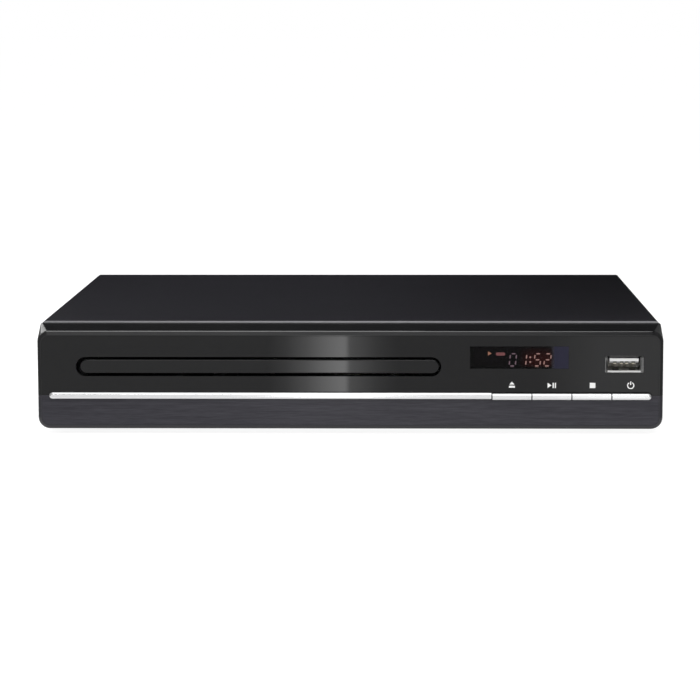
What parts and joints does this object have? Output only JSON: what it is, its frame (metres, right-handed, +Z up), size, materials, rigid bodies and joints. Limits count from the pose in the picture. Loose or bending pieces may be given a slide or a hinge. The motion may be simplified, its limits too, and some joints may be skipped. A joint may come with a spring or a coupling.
{
  "type": "disc player",
  "caption": "Low black disc player with a motor-driven sliding tray, digit display, memory socket and a silver strip of push keys.",
  "frame": {"origin": "on the floor, under the middle of the overall box", "axes": "+X to the viewer's right along the front, +Y to the rear, +Z up"},
  "size_m": [0.2404, 0.2092, 0.0431],
  "materials": {
    "moulded_black": "fine satin moulding",
    "gloss_black": "gloss",
    "brushed_black": "hairline brushed",
    "smoked_clear": "smoked gloss",
    "silver_plate": "satin plated plastic",
    "painted_steel": "satin black paint",
    "zinc_steel": "zinc-plated sheet",
    "bright_steel": "bright",
    "rubber": "matt",
    "dark_plastic": "moulded",
    "white_plastic": "moulded",
    "circuit_board": "solder mask",
    "aluminium": "satin",
    "transformer": "taped winding",
    "clear_lens": "polished"
  },
  "bodies": {
    "chassis": {"av_jack_barrels": "bright_steel", "av_jack_block": "dark_plastic", "av_jack_inserts": "white_plastic", "bottom_chassis": "zinc_steel", "case_screws": "bright_steel", "clamp_bridge": "zinc_steel", "decoder_chip": "dark_plastic", "display_window": "smoked_clear", "drive_belt": "rubber", "flat_cables": "white_plastic", "front_board": "circuit_board", "front_panel": "moulded_black", "hdmi_shell": "bright_steel", "hdmi_tongue": "dark_plastic", "heat_sink": "aluminium", "inlet_pins": "bright_steel", "inner_screws": "bright_steel", "ir_receiver": "dark_plastic", "key_switches": "dark_plastic", "led_display": "dark_plastic", "loader_frame": "dark_plastic", "loader_grommets": "rubber", "loading_motor": "bright_steel", "lower_fascia": "brushed_black", "main_board": "circuit_board", "mains_fuse": "clear_lens", "mains_inlet": "dark_plastic", "power_board": "circuit_board", "power_capacitors": "dark_plastic", "power_transformer": "transformer", "rear_panel": "zinc_steel", "rubber_feet": "rubber", "top_cover": "painted_steel", "trim_strip": "silver_plate", "upper_fascia": "gloss_black", "usb_shell": "bright_steel", "usb_tongue": "white_plastic"},
    "tray": {"disc_tray": "dark_plastic", "tray_bezel": "gloss_black"},
    "drive_gear": {"drive_gear": "white_plastic"},
    "pulley_gear": {"pulley_gear": "white_plastic"},
    "motor_pulley": {"motor_pulley": "white_plastic"},
    "cam": {"cam_slider": "dark_plastic"},
    "traverse": {"traverse_frame": "zinc_steel", "sled_bracket": "zinc_steel", "sled_motor": "bright_steel", "guide_rods": "bright_steel", "spindle_motor": "bright_steel"},
    "turntable": {"turntable": "dark_plastic"},
    "clamper": {"clamper": "white_plastic", "clamper_magnet": "bright_steel"},
    "sled": {"pickup_sled": "dark_plastic"},
    "lens": {"lens_holder": "dark_plastic", "objective_lens": "clear_lens"},
    "sled_gear": {"sled_gear": "white_plastic"},
    "sled_pinion": {"sled_pinion": "white_plastic"},
    "eject_key": {"eject_button": "silver_plate"},
    "play_key": {"play_button": "silver_plate"},
    "stop_key": {"stop_button": "silver_plate"},
    "power_key": {"power_button": "silver_plate"}
  },
  "joints": [
    {"name": "tray_slide", "type": "slide", "parent": "chassis", "child": "tray", "axis": [0, -1, 0], "range_m": [0, 0.128]},
    {"name": "drive_gear_spin", "type": "hinge", "parent": "chassis", "child": "drive_gear", "pos_m": [0.01745, -0.07335, 0.015], "axis": [0, 0, 1], "continuous": true},
    {"name": "pulley_gear_spin", "type": "hinge", "parent": "chassis", "child": "pulley_gear", "pos_m": [-0.00015, -0.07335, 0.015], "axis": [0, 0, 1], "continuous": true},
    {"name": "motor_pulley_spin", "type": "hinge", "parent": "chassis", "child": "motor_pulley", "pos_m": [-0.03115, -0.07335, 0.0204], "axis": [0, 0, 1], "continuous": true},
    {"name": "cam_slide", "type": "slide", "parent": "chassis", "child": "cam", "axis": [1, 0, 0], "range_m": [0, 0.009]},
    {"name": "traverse_tilt", "type": "hinge", "parent": "chassis", "child": "traverse", "pos_m": [-0.0351, 0.04465, 0.017], "axis": [1, 0, 0], "range_deg": [0, 3.48]},
    {"name": "turntable_spin", "type": "hinge", "parent": "traverse", "child": "turntable", "pos_m": [-0.0351, -0.03435, 0.02825], "axis": [0, 0, 1], "continuous": true},
    {"name": "clamper_spin", "type": "hinge", "parent": "chassis", "child": "clamper", "pos_m": [-0.0351, -0.03435, 0.0295], "axis": [0, 0, 1], "continuous": true},
    {"name": "sled_slide", "type": "slide", "parent": "traverse", "child": "sled", "axis": [0, 1, 0], "range_m": [0, 0.034]},
    {"name": "sled_gear_spin", "type": "hinge", "parent": "traverse", "child": "sled_gear", "pos_m": [-0.00817, -0.00835, 0.0135], "axis": [0, 0, 1], "continuous": true},
    {"name": "sled_pinion_spin", "type": "hinge", "parent": "traverse", "child": "sled_pinion", "pos_m": [-0.00817, 0.00265, 0.0135], "axis": [0, 0, 1], "continuous": true},
    {"name": "lens_focus", "type": "slide", "parent": "sled", "child": "lens", "axis": [0, 0, 1], "range_m": [-0.0004, 0.0004], "stiffness_N_per_m": 200},
    {"name": "eject_press", "type": "slide", "parent": "chassis", "child": "eject_key", "axis": [0, 1, 0], "range_m": [0, 0.0005], "stiffness_N_per_m": 1500, "springref_m": -0.0005},
    {"name": "play_press", "type": "slide", "parent": "chassis", "child": "play_key", "axis": [0, 1, 0], "range_m": [0, 0.0005], "stiffness_N_per_m": 1500, "springref_m": -0.0005},
    {"name": "stop_press", "type": "slide", "parent": "chassis", "child": "stop_key", "axis": [0, 1, 0], "range_m": [0, 0.0005], "stiffness_N_per_m": 1500, "springref_m": -0.0005},
    {"name": "power_press", "type": "slide", "parent": "chassis", "child": "power_key", "axis": [0, 1, 0], "range_m": [0, 0.0005], "stiffness_N_per_m": 1500, "springref_m": -0.0005}
  ],
  "couplings": [
    {"joint": "drive_gear_spin", "follows": "tray_slide", "rad_per_m": -111.11},
    {"joint": "pulley_gear_spin", "follows": "tray_slide", "rad_per_m": 238.1},
    {"joint": "motor_pulley_spin", "follows": "tray_slide", "rad_per_m": 825.89},
    {"joint": "traverse_tilt", "follows": "cam_slide", "rad_per_m": 6.7552},
    {"joint": "turntable_spin", "follows": "clamper_spin", "ratio": 1},
    {"joint": "sled_gear_spin", "follows": "sled_slide", "rad_per_m": -208.33},
    {"joint": "sled_pinion_spin", "follows": "sled_slide", "rad_per_m": 446.43}
  ]
}
